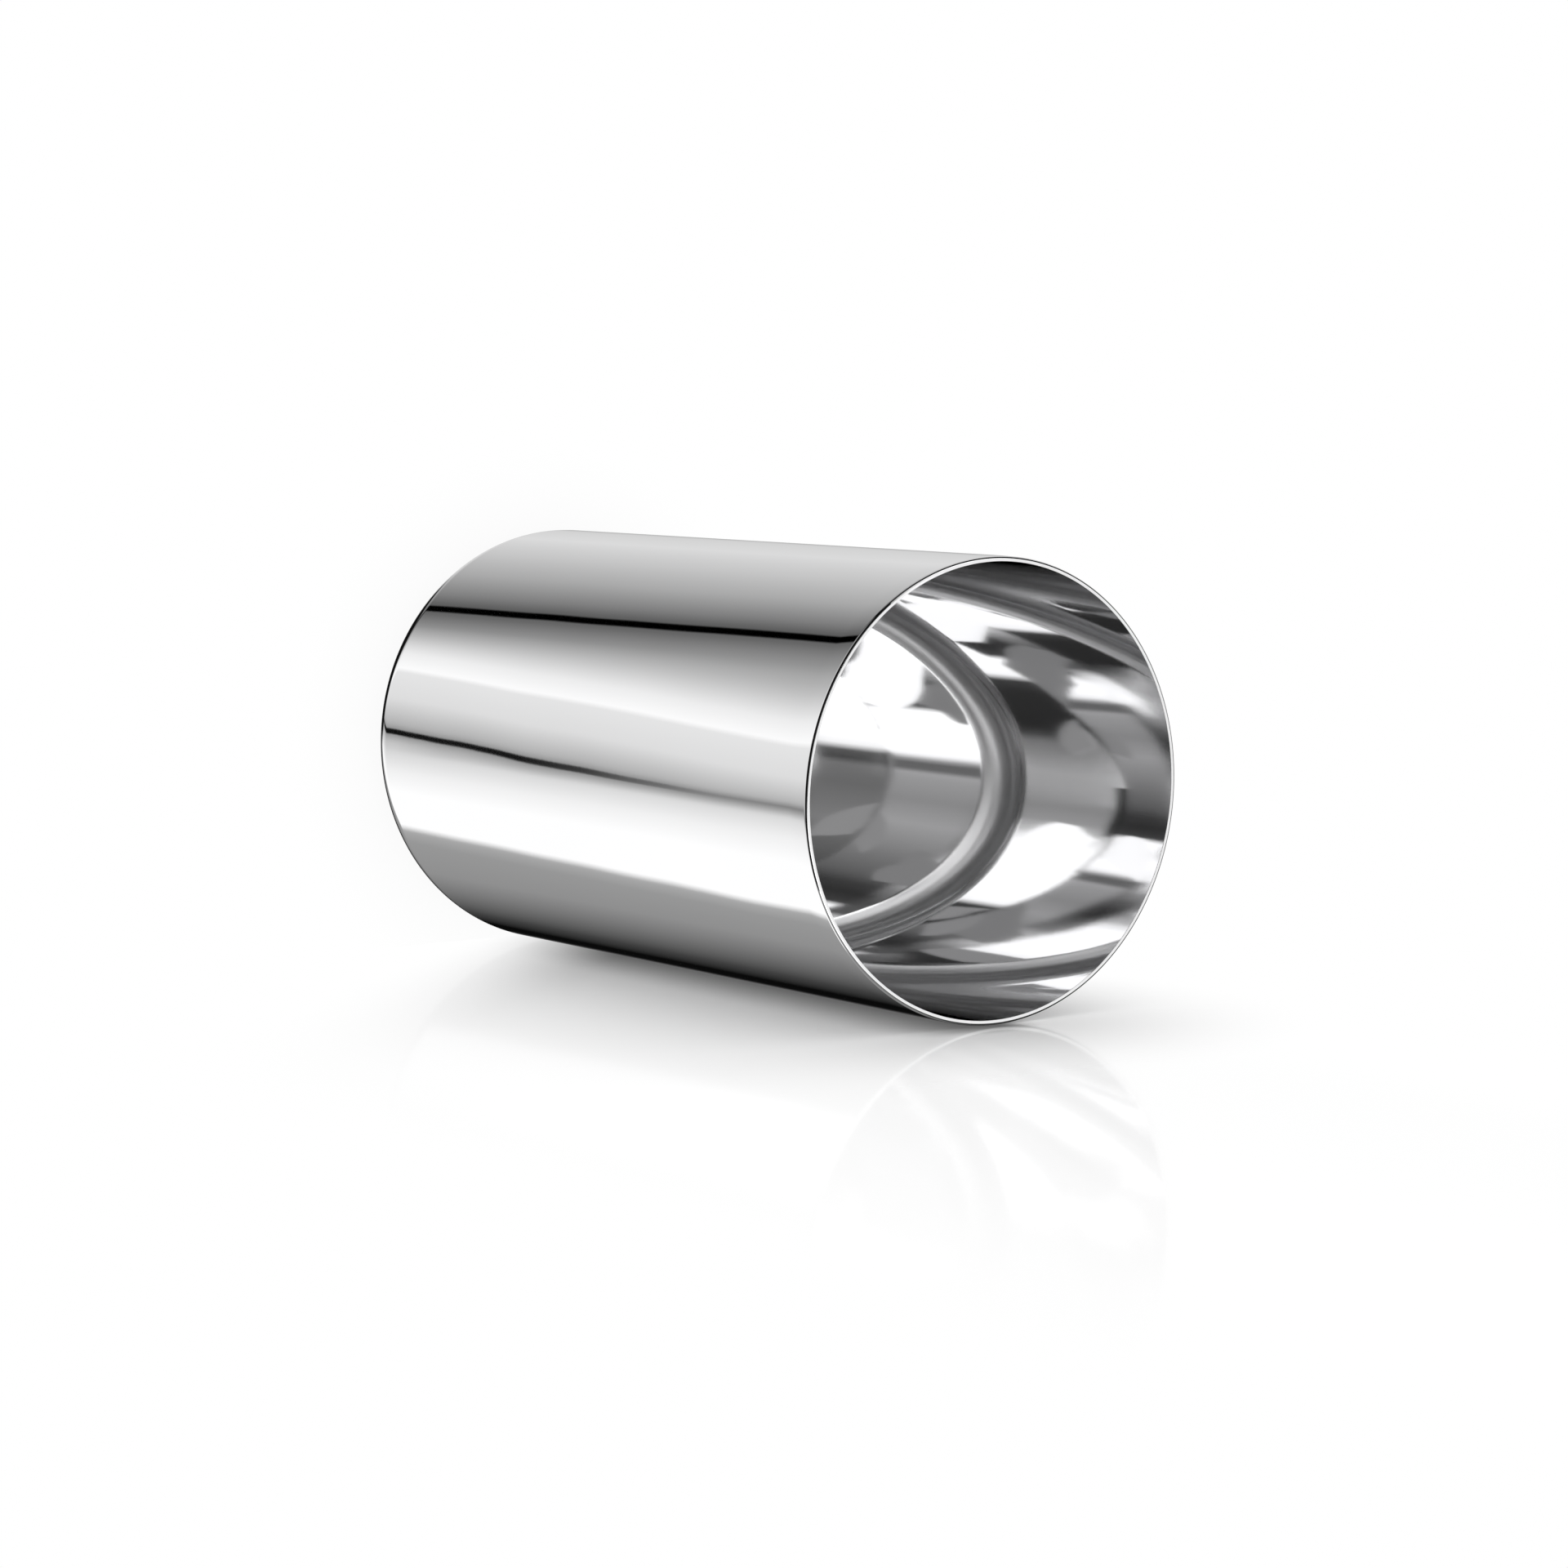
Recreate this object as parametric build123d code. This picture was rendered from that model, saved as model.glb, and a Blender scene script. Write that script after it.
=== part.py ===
from build123d import *

import os

os.makedirs("parts", exist_ok=True)

# A deep drawn sheet metal cup, one piece, standing on its closed end.
# The origin is the centre of the base's outside face, and +Z runs up the axis and out of the mouth.

# Driving dimensions, in millimetres
outer_diameter = 68.0
height = 122.0
wall_thickness = 0.8
base_thickness = 0.8

# Nose radius of the last punch, which leaves the inside corner between base and wall
inner_corner_radius = 5.7

# Polishing draws the outside in a little over the last stretch below the mouth
mouth_easing_length = 4.0
mouth_easing_depth = 0.05

# Deburring rounds both edges of the trimmed lip
mouth_outer_radius = 0.4
mouth_inner_radius = 0.1

# The sheet keeps its thickness round the corner
outer_radius = outer_diameter / 2
inner_radius = outer_radius - wall_thickness
outer_corner_radius = inner_corner_radius + base_thickness
lip_outer_radius = outer_radius - mouth_easing_depth
easing_start = height - mouth_easing_length


def half_section():
    """Half of the cup's section on the XZ plane: base, wall and lip, from the axis outwards."""
    base_outer_corner = (outer_radius, 0)
    base_inner_corner = (inner_radius, base_thickness)
    lip_outer_corner = (lip_outer_radius, height)
    lip_inner_corner = (inner_radius, height)
    with BuildSketch(Plane.XZ) as section:
        with BuildLine():
            Polyline(
                lip_outer_corner,
                lip_inner_corner,
                base_inner_corner,
                (0, base_thickness),
                (0, 0),
                base_outer_corner,
                (outer_radius, easing_start),
            )
            TangentArc((outer_radius, easing_start), lip_outer_corner, tangent=(0, 1))
        make_face()
        round_corner(section, base_outer_corner, outer_corner_radius)
        round_corner(section, base_inner_corner, inner_corner_radius)
        round_corner(section, lip_outer_corner, mouth_outer_radius)
        round_corner(section, lip_inner_corner, mouth_inner_radius)
    return section.sketch


def round_corner(section, place, radius):
    """Round the section's corner that lies at a place, given as (distance from the axis, height)."""
    corner = section.vertices().sort_by_distance((*place, 0))[0]
    fillet(corner, radius)


def drawn_cup():
    """The whole cup: its half section turned once round the axis."""
    return revolve(half_section(), axis=Axis.Z)


cup = drawn_cup()
cup.label = "drawn_cup"
export_step(cup, "parts/drawn_cup.step")
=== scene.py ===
import math

import bpy
from mathutils import Matrix, Vector


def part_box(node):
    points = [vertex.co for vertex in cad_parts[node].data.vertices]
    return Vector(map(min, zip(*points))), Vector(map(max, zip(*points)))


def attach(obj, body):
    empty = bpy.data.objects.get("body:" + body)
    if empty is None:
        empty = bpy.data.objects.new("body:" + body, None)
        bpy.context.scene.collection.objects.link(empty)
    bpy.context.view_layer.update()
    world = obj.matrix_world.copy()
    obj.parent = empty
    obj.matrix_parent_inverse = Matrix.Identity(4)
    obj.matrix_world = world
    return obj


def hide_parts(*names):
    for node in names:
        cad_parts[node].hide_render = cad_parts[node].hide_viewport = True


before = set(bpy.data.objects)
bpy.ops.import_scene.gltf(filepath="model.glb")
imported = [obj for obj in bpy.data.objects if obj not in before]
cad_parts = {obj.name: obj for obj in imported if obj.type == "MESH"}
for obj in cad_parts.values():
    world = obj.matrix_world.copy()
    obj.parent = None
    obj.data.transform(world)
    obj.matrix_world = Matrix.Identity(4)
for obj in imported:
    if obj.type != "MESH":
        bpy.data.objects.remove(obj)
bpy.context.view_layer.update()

# The cup's outside sizes come from the frame. All sizes and places are in metres.
cup_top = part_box("drawn_cup")[1]
OUTER_RADIUS = cup_top.x
HEIGHT = cup_top.z

# The rest of its section is the same as in the CAD source
WALL = 0.0008
BASE = 0.0008
INNER_CORNER = 0.0057
EASING_LENGTH = 0.004
EASING_DEPTH = 0.00005
LIP_OUTER_ROUNDING = 0.0004
LIP_INNER_ROUNDING = 0.0001
INNER_RADIUS = OUTER_RADIUS - WALL
OUTER_CORNER = INNER_CORNER + BASE
CORNER_RING = OUTER_RADIUS - OUTER_CORNER
LIP_FLAT_RADIUS = OUTER_RADIUS - EASING_DEPTH - LIP_OUTER_ROUNDING

# Fineness of the turned mesh
TURN_STEPS = 512
BASE_STEPS = 6
CORNER_STEPS = 24
WALL_STEPS = 24
EASING_STEPS = 10
LIP_STEPS = 14

# The camera stands where the photographer's did: the cup's axis points right and towards the viewer
CAMERA_PLACE = Vector((0.37410, -0.06123, 0.59130))
CAMERA_RIGHT = Vector((-0.812735, 0.0, 0.582634))
CAMERA_DOWN = Vector((0.058116, 0.995013, 0.081067))
LENS = 96.025
SENSOR_WIDTH = 36.0
NEAREST = 0.01


def grey(level):
    """Linear light for a grey as it is seen on a screen: 0 is black, 255 is white, and more is brighter."""
    share = level / 255
    return share / 12.92 if share <= 0.04045 else ((share + 0.055) / 1.055) ** 2.4


def add_object(name, mesh):
    made = bpy.data.objects.new(name, mesh)
    bpy.context.scene.collection.objects.link(made)
    return made


class Graph:
    """Adds nodes to one tree. Any number or socket may stand for an input."""

    def __init__(self, tree):
        self.tree = tree
        tree.nodes.clear()

    def add(self, kind, *inputs, **settings):
        """A node with settings, and its inputs filled in order. None leaves an input as it is."""
        made = self.tree.nodes.new(kind)
        for name, value in settings.items():
            setattr(made, name, value)
        for socket, value in zip(made.inputs, inputs):
            self.put(socket, value)
        return made

    def put(self, socket, value):
        if isinstance(value, bpy.types.NodeSocket):
            self.tree.links.new(value, socket)
        elif value is not None:
            socket.default_value = value

    def coordinates(self, kind="Object"):
        """A place on the surface, or a direction in the world, and its three parts."""
        place = self.add("ShaderNodeTexCoord").outputs[kind]
        return place, self.add("ShaderNodeSeparateXYZ", place).outputs

    def math(self, operation, *inputs):
        return self.add("ShaderNodeMath", *inputs, operation=operation).outputs[0]

    def plus(self, a, b):
        return self.math("ADD", a, b)

    def minus(self, a, b):
        return self.math("SUBTRACT", a, b)

    def times(self, a, b):
        return self.math("MULTIPLY", a, b)

    def larger(self, a, b):
        return self.math("MAXIMUM", a, b)

    def length(self, a, b):
        return self.math("SQRT", self.plus(self.times(a, a), self.times(b, b)))

    def azimuth(self, parts):
        """The compass direction of a place or direction, in degrees, 0 along +X and 90 along +Y."""
        return self.times(self.math("ARCTAN2", parts[1], parts[0]), math.degrees(1))

    def step(self, value, low, high):
        """Rises smoothly from 0 at low to 1 at high, or falls if low is the larger."""
        made = self.add("ShaderNodeMapRange", value, low, high, interpolation_type="SMOOTHSTEP")
        return made.outputs[0]

    def ramp(self, value, low, high, bottom=0.0, top=1.0):
        """Runs evenly from bottom at low to top at high, and stays level beyond them."""
        return self.add("ShaderNodeMapRange", value, low, high, bottom, top).outputs[0]

    def line(self, value, centre, half_width, softness):
        """1 on a line of that half width round centre, and 0 away from it."""
        away = self.math("ABSOLUTE", self.minus(value, centre))
        return self.step(away, half_width + softness, half_width)

    def blend(self, share, a, b):
        """a where share is 0 and b where it is 1, for numbers."""
        made = self.add("ShaderNodeMix", data_type="FLOAT")
        self.put(made.inputs["Factor"], share)
        self.put(made.inputs["A"], a)
        self.put(made.inputs["B"], b)
        return made.outputs["Result"]

    def bands(self, degrees, low, high, stops):
        """A run of greys over an angle. Each stop is an angle and the screen grey there."""
        made = self.add("ShaderNodeValToRGB", self.ramp(degrees, low, high))
        elements = made.color_ramp.elements
        while len(elements) > 1:
            elements.remove(elements[0])
        for index, (angle, level) in enumerate(stops):
            at = self.share(angle, low, high)
            element = elements[0] if index == 0 else elements.new(at)
            element.position = at
            element.color = (*(grey(level),) * 3, 1)
        return made.outputs[0]

    def curve(self, value, low, high, bottom, top, points):
        """A smooth curve from an angle to a number. Each point is an angle and its number."""
        made = self.add("ShaderNodeFloatCurve", 1.0, self.ramp(value, low, high))
        line = made.mapping.curves[0]
        line.points[0].location = (0, self.share(points[0][1], bottom, top))
        line.points[1].location = (1, self.share(points[-1][1], bottom, top))
        for angle, number in points[1:-1]:
            line.points.new(self.share(angle, low, high), self.share(number, bottom, top))
        made.mapping.update()
        return self.ramp(made.outputs[0], 0, 1, bottom, top)

    def noise(self, place, scale, detail, roughness):
        return self.add("ShaderNodeTexNoise", place, None, scale, detail, roughness).outputs[0]

    def bump(self, height, depth, under=None):
        """A bump of that depth, over another one if it is given."""
        made = self.add("ShaderNodeBump")
        self.put(made.inputs["Height"], height)
        self.put(made.inputs["Distance"], depth)
        self.put(made.inputs["Strength"], 1.0)
        self.put(made.inputs["Normal"], under)
        return made.outputs[0]

    @staticmethod
    def share(value, low, high):
        return (value - low) / (high - low)


def new_material(name):
    material = bpy.data.materials.new(name)
    material.use_nodes = True
    return Graph(material.node_tree), material


def arc(centre, radius, start, end, steps, facing=1):
    """Points of the section along an arc, each with its outward normal. Angles are in degrees."""
    made = []
    for step in range(steps + 1):
        angle = math.radians(start + (end - start) * step / steps)
        radial, rise = math.cos(angle), math.sin(angle)
        place = (centre[0] + radius * radial, centre[1] + radius * rise)
        made.append((place, (facing * radial, facing * rise)))
    return made


def straight(start, end, normal, steps):
    """Points of the section strictly between two ends of a straight run."""
    made = []
    for step in range(1, steps):
        share = step / steps
        place = (start[0] + (end[0] - start[0]) * share, start[1] + (end[1] - start[1]) * share)
        made.append((place, normal))
    return made


def eased_lip():
    """The outside's last stretch: an arc that eases the wall inwards, and one that rounds the lip."""
    easing_radius = (EASING_LENGTH**2 + EASING_DEPTH**2) / (2 * EASING_DEPTH)
    easing_centre = (OUTER_RADIUS - easing_radius, HEIGHT - EASING_LENGTH)
    lip_rise = EASING_LENGTH - LIP_OUTER_ROUNDING
    lip_reach = easing_radius - LIP_OUTER_ROUNDING
    lip_lean = math.degrees(math.asin(lip_rise / lip_reach))
    lip_centre = (easing_centre[0] + math.sqrt(lip_reach**2 - lip_rise**2), HEIGHT - LIP_OUTER_ROUNDING)
    easing = arc(easing_centre, easing_radius, 0, lip_lean, EASING_STEPS)
    return easing + arc(lip_centre, LIP_OUTER_ROUNDING, lip_lean, 90, LIP_STEPS)[1:]


def cup_section():
    """The cup's half section: out along the base, up the wall, over the lip and back down inside."""
    wall_top = (OUTER_RADIUS, HEIGHT - EASING_LENGTH)
    inner_lip_centre = (INNER_RADIUS + LIP_INNER_ROUNDING, HEIGHT - LIP_INNER_ROUNDING)
    inner_wall_top = (INNER_RADIUS, inner_lip_centre[1])
    corner_height = BASE + INNER_CORNER
    down, up, out, inwards = (0, -1), (0, 1), (1, 0), (-1, 0)
    section = [((0, 0), down)]
    section += straight((0, 0), (CORNER_RING, 0), down, BASE_STEPS)
    section += arc((CORNER_RING, OUTER_CORNER), OUTER_CORNER, -90, 0, CORNER_STEPS)
    section += straight((OUTER_RADIUS, OUTER_CORNER), wall_top, out, WALL_STEPS)
    section += eased_lip()
    section += arc(inner_lip_centre, LIP_INNER_ROUNDING, 90, 180, LIP_STEPS // 2)
    section += straight(inner_wall_top, (INNER_RADIUS, corner_height), inwards, WALL_STEPS)
    section += arc((CORNER_RING, corner_height), INNER_CORNER, 0, -90, CORNER_STEPS, facing=-1)
    section += straight((CORNER_RING, BASE), (0, BASE), up, BASE_STEPS)
    section += [((0, BASE), up)]
    return section


def turned(name, section, steps):
    """A mesh turned round the Z axis from a half section that starts and ends on the axis."""
    rings = section[1:-1]
    points = [(0, 0, section[0][0][1])]
    normals = [(0, 0, section[0][1][1])]
    for (radius, height), (radial, rise) in rings:
        for step in range(steps):
            angle = 2 * math.pi * step / steps
            cos, sin = math.cos(angle), math.sin(angle)
            points.append((radius * cos, radius * sin, height))
            normals.append((radial * cos, radial * sin, rise))
    last = len(points)
    points.append((0, 0, section[-1][0][1]))
    normals.append((0, 0, section[-1][1][1]))
    faces = []
    for step in range(steps):
        after = (step + 1) % steps
        faces.append((0, 1 + after, 1 + step))
        for ring in range(len(rings) - 1):
            low = 1 + ring * steps
            high = low + steps
            faces.append((low + step, low + after, high + after, high + step))
        top = 1 + (len(rings) - 1) * steps
        faces.append((top + step, top + after, last))
    mesh = bpy.data.meshes.new(name)
    mesh.from_pydata(points, [], faces)
    mesh.polygons.foreach_set("use_smooth", [True] * len(mesh.polygons))
    mesh.normals_split_custom_set_from_vertices(normals)
    return add_object(name, mesh)


# Where one finish of the steel gives way to the next: the two ends of each smooth step
INSIDE_EDGE = (INNER_RADIUS + 0.00012, INNER_RADIUS + 0.00004)
INSIDE_FLOOR = (BASE / 2, BASE * 0.9)
LIP_EDGE = (LIP_FLAT_RADIUS + 0.00009, LIP_FLAT_RADIUS + 0.00005)
LIP_TOP = (HEIGHT - 0.00006, HEIGHT - 0.00003)
CORNER_TOP = (BASE + INNER_CORNER, BASE + INNER_CORNER * 0.8)
CORNER_EDGE = (INNER_RADIUS - INNER_CORNER, INNER_RADIUS - INNER_CORNER * 0.8)

# A polishing wheel hardly reaches the inside corner, and the trimmed lip is only deburred
OUTSIDE_ROUGHNESS = 0.018
INSIDE_ROUGHNESS = 0.024
HAZE_ROUGHNESS = 0.016
CORNER_ROUGHNESS = 0.34
LIP_ROUGHNESS = 0.3
LIP_GRAIN = 0.2
LIP_METALLIC = 0.12

# Shade of the steel, how much it varies, and how much bluer than grey it is
STEEL_SHADE = 0.93
STEEL_VARIATION = 0.02
STEEL_BLUE = 0.004

# Polishing leaves a slow unevenness, a fine grain, and a haze of thin rings round the wall
SLOW_SCALE = 28.0
SLOW_DEPTH = 0.00006
FINE_SCALE = 900.0
FINE_DEPTH = 0.0000004
HAZE_SCALE = (60.0, 60.0, 2600.0)


def finish_masks(graph, radius, height):
    """Masks of the whole inside, of its corner between wall and base, and of the lip's flat."""
    inside = graph.times(graph.step(radius, *INSIDE_EDGE), graph.step(height, *INSIDE_FLOOR))
    corner = graph.times(graph.step(height, *CORNER_TOP), graph.step(radius, *CORNER_EDGE))
    lip = graph.times(graph.step(radius, *LIP_EDGE), graph.step(height, *LIP_TOP))
    return inside, graph.times(inside, corner), lip


def polished_steel():
    """Mirror-polished steel, with a duller inside corner and a satin trimmed lip."""
    graph, material = new_material("polished_steel")
    place, parts = graph.coordinates()
    radius = graph.length(parts[0], parts[1])
    inside, corner, lip = finish_masks(graph, radius, parts[2])

    slow = graph.noise(place, SLOW_SCALE, detail=1.0, roughness=0.4)
    fine = graph.noise(place, FINE_SCALE, detail=3.0, roughness=0.6)
    round_the_wall = graph.add("ShaderNodeMapping", place, None, None, HAZE_SCALE).outputs[0]
    haze = graph.noise(round_the_wall, 1.0, detail=4.0, roughness=0.6)

    rough = graph.blend(inside, OUTSIDE_ROUGHNESS, INSIDE_ROUGHNESS)
    rough = graph.plus(rough, graph.times(haze, HAZE_ROUGHNESS))
    rough = graph.blend(corner, rough, CORNER_ROUGHNESS)
    rough = graph.blend(lip, rough, graph.plus(LIP_ROUGHNESS, graph.times(fine, LIP_GRAIN)))
    shade = graph.plus(STEEL_SHADE, graph.times(slow, STEEL_VARIATION))
    colour = graph.add("ShaderNodeCombineColor", shade, shade, graph.plus(shade, STEEL_BLUE)).outputs[0]
    bump = graph.bump(fine, FINE_DEPTH, under=graph.bump(slow, SLOW_DEPTH))

    shader = graph.add("ShaderNodeBsdfPrincipled")
    graph.put(shader.inputs["Metallic"], graph.blend(lip, 1.0, LIP_METALLIC))
    graph.put(shader.inputs["Base Color"], colour)
    graph.put(shader.inputs["Roughness"], rough)
    graph.put(shader.inputs["Normal"], bump)
    graph.add("ShaderNodeOutputMaterial", shader.outputs[0])
    return material


def make_cup():
    cup = turned("cup_body", cup_section(), TURN_STEPS)
    cup.data.materials.append(polished_steel())
    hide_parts("drawn_cup")
    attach(cup, "root")


# Greys that the wall shows round its side, by the direction in which it faces. Angles are in degrees.
WALL_BANDS = (
    # A grey panel, darker towards the main panel's first dark edge
    (-90, 205), (-78, 216), (-66, 195), (-56, 168), (-48, 126), (-44.5, 92),
    # The main panel brightens up to a small step, and dims towards its second dark edge
    (-41, 100), (-36, 142), (-30, 195), (-24, 236), (-18.7, 252), (-17.9, 228), (-10, 220), (-3, 178),
    (-0.6, 128),
    # A white panel with a sharp end
    (1, 165), (3, 217), (8, 240), (14, 254), (25.4, 254), (27.5, 166),
    # A grey panel that ends black, and pale paper beyond it
    (31, 150), (40, 142), (50, 106), (58, 63), (65, 8), (71, 12), (80, 120), (90, 205),
)

# How far a band leans towards the mouth, by the direction in which the wall faces
LEAST_LEAN = -2
MOST_LEAN = 6
BAND_LEAN = (
    (-90, 0), (-60, 0), (-43, -0.9), (-34, 0.6), (-20, 3.8), (-3, 3.6), (4, 0.8), (16, 1), (26, 2.2),
    (40, 0), (90, 0),
)

# What the wall mirrors to the camera: this azimuth where it faces azimuth 0, and these elevations at two
# heights, which count from -1 at the foot to 1 at the mouth
MIRRORED_AZIMUTH = 10.2
FOOT_ELEVATION = -59.3
FOOT_HEIGHT = -1.0
MOUTH_ELEVATION = -54.0
MOUTH_HEIGHT = 0.91

# The main panel's two dark edges: where each is, half its width, and how soft it is. The second one fades
# towards the mouth.
FIRST_EDGE = (-42.9, 0.75, 0.7)
SECOND_EDGE = (-0.6, 0.5, 0.5)
SECOND_EDGE_FADE = (0.8, -0.4)
SECOND_EDGE_LEVEL = 0.02

# Steeply below and beyond the cup it is dark, which outlines the closed end's rounded corner. X and Y are
# parts of the direction that is mirrored there.
BELOW_X = (0.2, 0.12)
BELOW_Y = (0.1, 0.04)
BELOW_ELEVATION = (-66, -71)
BELOW_LEVEL = 0.005

# Polished steel gives back a little less than it mirrors, so the studio makes up for one reflection outside
# the cup, and for four inside it
WALL_GAIN = 1.07
INSIDE_GAIN = 1.28

# Greys of the far studio, by azimuth: low over the horizon, at the camera's height, and a little above it
HORIZON_BANDS = (
    # Dark panels, one of them black
    (-180, 34), (-128, 34), (-112, 64), (-86, 64), (-78, 5), (12, 5),
    # A grey panel, and dark again
    (24, 130), (104, 130), (120, 64), (150, 44), (180, 34),
)
FAR_BANDS = (
    # A white panel
    (-180, 255), (-160, 270), (-80, 270), (-66, 235), (-58, 190),
    # A grey panel
    (-40, 146), (-20, 133), (10, 152), (30, 155), (60, 125), (75, 112),
    # A dark panel, and the white one again
    (88, 60), (98, 38), (150, 42), (168, 60), (178, 255), (180, 255),
)
UPPER_BANDS = (
    # A dark gap and a white panel
    (-180, 106), (-173, 66), (-165, 80), (-158, 240), (-140, 270), (-70, 270), (-60, 225),
    # Grey all the way round the rest
    (-40, 140), (20, 120), (70, 76), (100, 97), (120, 118), (160, 100), (180, 106),
)

# Elevations at which the far studio's parts begin
HORIZON_START = (-2, 4)
FAR_START = (44, 47)
UPPER_START = (51.8, 52.4)
ZENITH_START = (58, 66)
ZENITH_LEVEL = 1.2

# One thin light in the far studio: its place, half its width, and how soft it is, each way
STRIP_AZIMUTH = (45, 50, 10)
STRIP_ELEVATION = (49.42, 0.06, 0.06)
STRIP_LEVEL = 1.3


def wall_surround(graph, parts, azimuth, elevation):
    """The lower studio, below the horizon, which the outside wall mirrors to the camera."""
    turn = graph.math("WRAP", graph.minus(azimuth, MIRRORED_AZIMUTH), 180.0, -180.0)
    facing = graph.times(turn, 0.5)
    height = graph.ramp(elevation, FOOT_ELEVATION, MOUTH_ELEVATION, FOOT_HEIGHT, MOUTH_HEIGHT)
    lean = graph.curve(facing, -90, 90, LEAST_LEAN, MOST_LEAN, BAND_LEAN)
    band = graph.minus(facing, graph.times(lean, height))
    wall = graph.bands(band, -90, 90, WALL_BANDS)

    wall = graph.times(wall, graph.blend(graph.line(band, *FIRST_EDGE), 1.0, 0.0))
    second = graph.times(graph.line(band, *SECOND_EDGE), graph.step(height, *SECOND_EDGE_FADE))
    wall = graph.times(wall, graph.blend(second, 1.0, SECOND_EDGE_LEVEL))

    below = graph.times(graph.step(parts[0], *BELOW_X), graph.step(parts[1], *BELOW_Y))
    below = graph.times(below, graph.step(elevation, *BELOW_ELEVATION))
    return graph.times(graph.blend(below, wall, BELOW_LEVEL), WALL_GAIN)


def far_surround(graph, azimuth, elevation):
    """The far studio, above the horizon, with one thin upright light."""
    horizon, far, upper = (
        graph.bands(azimuth, -180, 180, stops) for stops in (HORIZON_BANDS, FAR_BANDS, UPPER_BANDS)
    )
    far = graph.times(graph.blend(graph.step(elevation, *UPPER_START), far, upper), INSIDE_GAIN)
    strip = graph.times(graph.line(azimuth, *STRIP_AZIMUTH), graph.line(elevation, *STRIP_ELEVATION))
    far = graph.blend(strip, far, STRIP_LEVEL)
    level = graph.blend(graph.step(elevation, *FAR_START), horizon, far)
    return graph.blend(graph.step(elevation, *ZENITH_START), level, ZENITH_LEVEL)


def world_light():
    """White for the camera, even light for matt surfaces, and a banded studio for the metal to mirror."""
    world = bpy.data.worlds.new("studio")
    bpy.context.scene.world = world
    world.use_nodes = True
    graph = Graph(world.node_tree)
    parts = graph.coordinates("Generated")[1]
    azimuth = graph.azimuth(parts)
    elevation = graph.times(graph.math("ARCSINE", parts[2]), math.degrees(1))
    wall = wall_surround(graph, parts, azimuth, elevation)
    far = far_surround(graph, azimuth, elevation)
    mirrored = graph.blend(graph.step(elevation, *HORIZON_START), wall, far)
    glossy = graph.add("ShaderNodeLightPath").outputs["Is Glossy Ray"]
    background = graph.add("ShaderNodeBackground", (1, 1, 1, 1), graph.blend(glossy, 1.0, mirrored))
    graph.add("ShaderNodeOutputWorld", background.outputs[0])


def stage_card(name, corners, material):
    """A flat card of the studio, which isn't part of the object."""
    mesh = bpy.data.meshes.new(name)
    mesh.from_pydata(corners, [], [tuple(range(len(corners)))])
    mesh.materials.append(material)
    made = add_object(name, mesh)
    return made


def hide_from(thing, *rays):
    """Rays of these kinds pass the thing by."""
    for ray in rays:
        setattr(thing, f"visible_{ray}", False)


def shine(graph, level):
    """Ends a card's material as a light of that level, 1 for white, below the card and clear above it."""
    light = graph.add("ShaderNodeEmission", (1, 1, 1, 1), level).outputs[0]
    clear = graph.add("ShaderNodeBsdfTransparent").outputs[0]
    above = graph.add("ShaderNodeNewGeometry").outputs["Backfacing"]
    surface = graph.add("ShaderNodeMixShader", above, light, clear).outputs[0]
    graph.add("ShaderNodeOutputMaterial", surface)


def mirrored_card(name, outline, rise, material):
    """A level card that far over the lip. The metal mirrors it, but it casts no shadow and isn't seen."""
    corners = [(x, y, HEIGHT + rise) for x, y in outline]
    card = stage_card(name, corners, material)
    hide_from(card, "camera", "diffuse", "shadow", "transmission", "volume_scatter")


# The round card over the mouth, and where its rings and its two half centres meet
MOUTH_CARD_RISE = 0.12
MOUTH_CARD_RADIUS = 0.1015
MOUTH_CARD_STEPS = 96
MIDDLE_RING_START = (0.0895, 0.092)
OUTER_RING_START = (0.093, 0.096)
CENTRE_START = (0.058, 0.054)
LIT_HALF_START = (0.006, 0.03)
DARK_HALF_LEVEL = 0.1
LIT_HALF_LEVEL = 1.6

# Greys of its three rings, by azimuth: grey on one side, then white, then dark
INNER_RING_BANDS = (
    (-180, 90), (-140, 117), (-80, 154), (-40, 135), (-5, 150), (5, 158), (12, 100), (22, 96), (28, 150),
    (36, 250), (50, 280), (108, 280),
    (118, 60), (140, 45), (160, 58), (180, 90),
)
MIDDLE_RING_BANDS = (
    (-180, 150), (-140, 190), (-110, 115), (-80, 90), (-60, 60), (-40, 60), (-20, 80), (0, 110), (24, 90),
    (32, 250), (70, 260),
    (86, 75), (140, 60), (180, 150),
)
OUTER_RING_BANDS = (
    (-180, 180), (-140, 190), (-110, 115), (-80, 72), (-60, 35), (-40, 48), (-20, 90), (0, 142),
    (15, 220), (40, 270), (66, 260), (82, 235),
    (98, 80), (130, 75), (160, 123), (180, 180),
)


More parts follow.
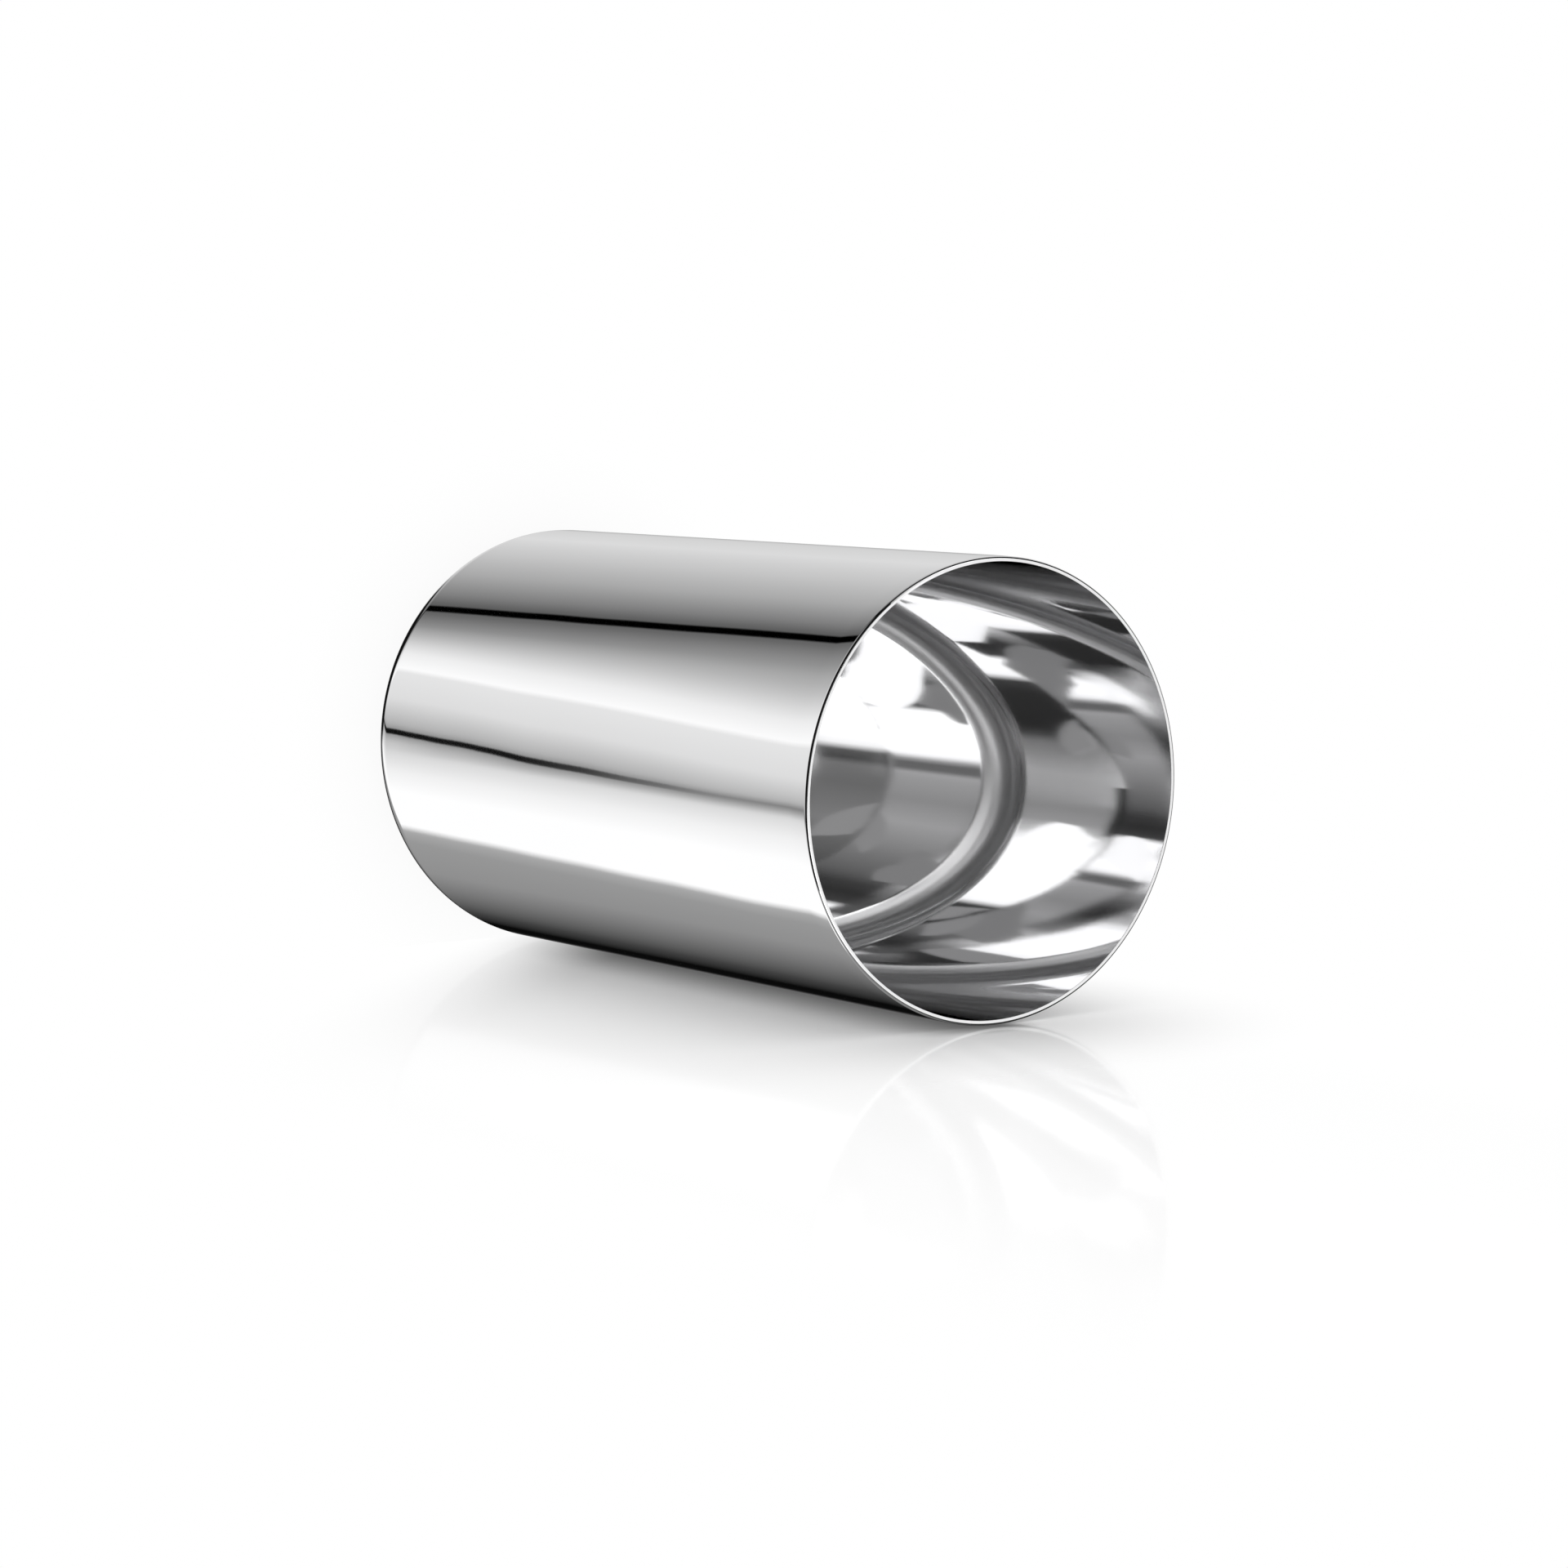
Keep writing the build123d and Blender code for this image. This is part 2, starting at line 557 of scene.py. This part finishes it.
def mouth_card():
    """A round card above the mouth: three banded rings round a centre that is half dark, half lit."""
    graph, material = new_material("mouth_card")
    parts = graph.coordinates()[1]
    azimuth = graph.azimuth(parts)
    away = graph.length(parts[0], parts[1])
    inner, middle, outer = (
        graph.bands(azimuth, -180, 180, stops)
        for stops in (INNER_RING_BANDS, MIDDLE_RING_BANDS, OUTER_RING_BANDS)
    )
    level = graph.blend(graph.step(away, *MIDDLE_RING_START), inner, middle)
    level = graph.blend(graph.step(away, *OUTER_RING_START), level, outer)
    level = graph.times(level, INSIDE_GAIN)
    centre = graph.blend(graph.step(parts[1], *LIT_HALF_START), DARK_HALF_LEVEL, LIT_HALF_LEVEL)
    shine(graph, graph.blend(graph.step(away, *CENTRE_START), level, centre))
    outline = []
    for step in range(MOUTH_CARD_STEPS):
        angle = -2 * math.pi * step / MOUTH_CARD_STEPS
        outline.append((MOUTH_CARD_RADIUS * math.cos(angle), MOUTH_CARD_RADIUS * math.sin(angle)))
    mirrored_card("mouth_card", outline, MOUTH_CARD_RISE, material)


# Small cards over the mouth. Their outlines run clockwise, seen from above, so that they face down.
WHITE_OUTLINE = (
    (-0.004, -0.014), (0.012, -0.015), (0.016, -0.020), (0.012, -0.031), (-0.002, -0.031), (-0.007, -0.024),
)
WHITE_RISE = 0.004
WHITE_LEVEL = 1.35
DARK_OUTLINE = (
    (-0.026, -0.004), (-0.029, 0.006), (-0.025, 0.015), (-0.009, 0.015), (-0.009, 0.012), (-0.013, 0.006),
    (-0.012, -0.002), (-0.014, -0.005),
)
DARK_RISE = 0.025
DARK_LEVEL = 0.25
GREY_OUTLINE = (
    (-0.026, 0.024), (-0.020, 0.028), (-0.014, 0.032), (-0.008, 0.034), (0, 0.034), (0.004, 0.030),
    (0.008, 0.024),
)
GREY_RISE = 0.004
GREY_LEVEL = 0.3

# Two dark collars round the mouth, which the lip's rounded edge mirrors: inner radius, and two azimuths
NEAR_COLLAR = (0.0346, -60, 24)
FAR_COLLAR = (0.0366, -130, -60)
COLLAR_RADIUS = 0.060
COLLAR_RISE = 0.005
COLLAR_LEVEL = 0.005
COLLAR_STEPS = 20


def plain_card(name, outline, rise, level):
    """A card of one even grey, or light, that the metal mirrors."""
    graph, material = new_material(name)
    shine(graph, level)
    mirrored_card(name, outline, rise, material)


def collar_outline(inner, first, last):
    """Part of a flat ring, from that inner radius out to the collars' own, between two azimuths."""
    outline = []
    for radius, start, end in ((inner, first, last), (COLLAR_RADIUS, last, first)):
        for step in range(COLLAR_STEPS + 1):
            angle = math.radians(start + (end - start) * step / COLLAR_STEPS)
            outline.append((radius * math.cos(angle), radius * math.sin(angle)))
    return outline


def small_cards():
    """A white, a dark and a grey card over the mouth, and the two dark collars round it."""
    plain_card("white_card", WHITE_OUTLINE, WHITE_RISE, WHITE_LEVEL)
    plain_card("dark_card", DARK_OUTLINE, DARK_RISE, DARK_LEVEL)
    plain_card("grey_card", GREY_OUTLINE, GREY_RISE, GREY_LEVEL)
    plain_card("dark_collar", collar_outline(*NEAR_COLLAR), COLLAR_RISE, COLLAR_LEVEL)
    plain_card("far_collar", collar_outline(*FAR_COLLAR), COLLAR_RISE, COLLAR_LEVEL)


def white_paper(graph, colour, shade, strength):
    """White for the camera, mixed with a matt surface that takes the cup's shadow, by the share in shade."""
    matt = graph.add("ShaderNodeBsdfDiffuse", colour).outputs[0]
    white = graph.add("ShaderNodeEmission", (1, 1, 1, 1), strength).outputs[0]
    camera = graph.add("ShaderNodeLightPath").outputs["Is Camera Ray"]
    white_share = graph.times(camera, graph.minus(1.0, shade))
    return graph.add("ShaderNodeMixShader", white_share, matt, white).outputs[0]


# The ground under the standing cup takes a short shadow round its foot
GROUND_REACH = 4.0
GROUND_SHADE_REACH = (0.05, 0.03)
GROUND_SHADE = 0.12


def ground_paper():
    """Plain paper under the cup, white but for a short shadow."""
    graph, material = new_material("ground_paper")
    parts = graph.coordinates()[1]
    away = graph.length(parts[0], parts[1])
    shade = graph.times(graph.step(away, *GROUND_SHADE_REACH), GROUND_SHADE)
    graph.add("ShaderNodeOutputMaterial", white_paper(graph, (1, 1, 1, 1), shade, 1.0))
    return material


# The photograph's floor, on which the cup's side rests, is an upright plane beside the standing cup.
# Reaches are from the line of contact. They are shorter behind the cup and past its mouth, and they end
# along a slant that starts at its foot.
SIDE_FLOOR_REACH = 0.34
SIDE_FLOOR_TOP = 0.48
BEHIND_FACTOR = -2.5
PAST_MOUTH_FACTOR = 3.0
FOOT_SLANT = 0.8
FOOT_START = (-0.012, 0.028)
SHADE_REACH = (0.13, 0.01)
SHADE = 0.9
# Painted contact shadow: how far from the line of contact the paper's matt colour is darkened, and by how
# much
PAINTED_SHADOW_REACH = (0.02, 0.0)
PAINTED_CONTACT_SHADOW = 0.92
MIRROR_REACH = (0.125, 0.0)
MIRROR_SHARE = 0.22
MIRROR_ROUGHNESS = 0.07
MIRROR_WHITENING = 0.4


def glossy_paper():
    """The paper takes the cup's shadow plus a painted contact shadow, and mirrors it, more and more faintly
    away from it.
    """
    graph, material = new_material("glossy_paper")
    parts = graph.coordinates()[1]
    aside = graph.larger(parts[0], graph.times(parts[0], BEHIND_FACTOR))
    past_mouth = graph.larger(graph.times(graph.minus(parts[2], HEIGHT), PAST_MOUTH_FACTOR), 0.0)
    away = graph.length(aside, past_mouth)
    from_foot = graph.step(graph.minus(parts[2], graph.times(aside, FOOT_SLANT)), *FOOT_START)
    shade = graph.times(graph.step(away, *SHADE_REACH), graph.times(from_foot, SHADE))
    # Painted shadow: the matt colour is darkened along the line of contact, on top of the shadow that the
    # cup casts
    painted_shadow = graph.step(away, *PAINTED_SHADOW_REACH)
    painted_shadow_grey = graph.minus(1.0, graph.times(painted_shadow, PAINTED_CONTACT_SHADOW))
    colour = graph.add("ShaderNodeCombineColor", painted_shadow_grey, painted_shadow_grey, painted_shadow_grey).outputs[0]
    share = graph.times(graph.step(aside, *MIRROR_REACH), graph.times(from_foot, MIRROR_SHARE))
    strength = graph.plus(1.0, graph.times(share, MIRROR_WHITENING))
    paper = white_paper(graph, colour, shade, strength)
    gloss = graph.add("ShaderNodeBsdfAnisotropic", (1, 1, 1, 1), MIRROR_ROUGHNESS).outputs[0]
    paper = graph.add("ShaderNodeMixShader", share, paper, gloss).outputs[0]
    behind = graph.add("ShaderNodeNewGeometry").outputs["Backfacing"]
    clear = graph.add("ShaderNodeBsdfTransparent").outputs[0]
    surface = graph.add("ShaderNodeMixShader", behind, paper, clear).outputs[0]
    graph.add("ShaderNodeOutputMaterial", surface)
    return material


def floor_card(name, corners, material):
    """The camera sees this floor. It doesn't shade or brighten anything itself."""
    floor = stage_card(name, corners, material)
    hide_from(floor, "diffuse", "glossy", "transmission", "volume_scatter", "shadow")


def make_floors():
    """The floor under the standing cup, and the glossy plane beside it that is the photograph's floor."""
    reach = GROUND_REACH
    ground = ((-reach, -reach, 0), (reach, -reach, 0), (reach, reach, 0), (-reach, reach, 0))
    floor_card("floor", ground, ground_paper())
    left, right, side, top = -SIDE_FLOOR_REACH, SIDE_FLOOR_REACH, OUTER_RADIUS, SIDE_FLOOR_TOP
    beside = ((left, side, 0), (right, side, 0), (right, side, top), (left, side, top))
    floor_card("side_floor", beside, glossy_paper())


def make_camera():
    data = bpy.data.cameras.new("camera")
    data.lens = LENS
    data.sensor_width = SENSOR_WIDTH
    data.clip_start = NEAREST
    camera = add_object("camera", data)
    right = CAMERA_RIGHT.normalized()
    back = right.cross(-CAMERA_DOWN).normalized()
    up = back.cross(right)
    turn = Matrix((right, up, back)).transposed()
    camera.matrix_world = Matrix.Translation(CAMERA_PLACE) @ turn.to_4x4()
    bpy.context.scene.camera = camera


# The cup's own mirror images of itself go several reflections deep
bpy.context.scene.cycles.max_bounces = 12
bpy.context.scene.cycles.glossy_bounces = 9

make_cup()
world_light()
mouth_card()
small_cards()
make_floors()
make_camera()
bpy.context.scene.view_settings.view_transform = "Standard"
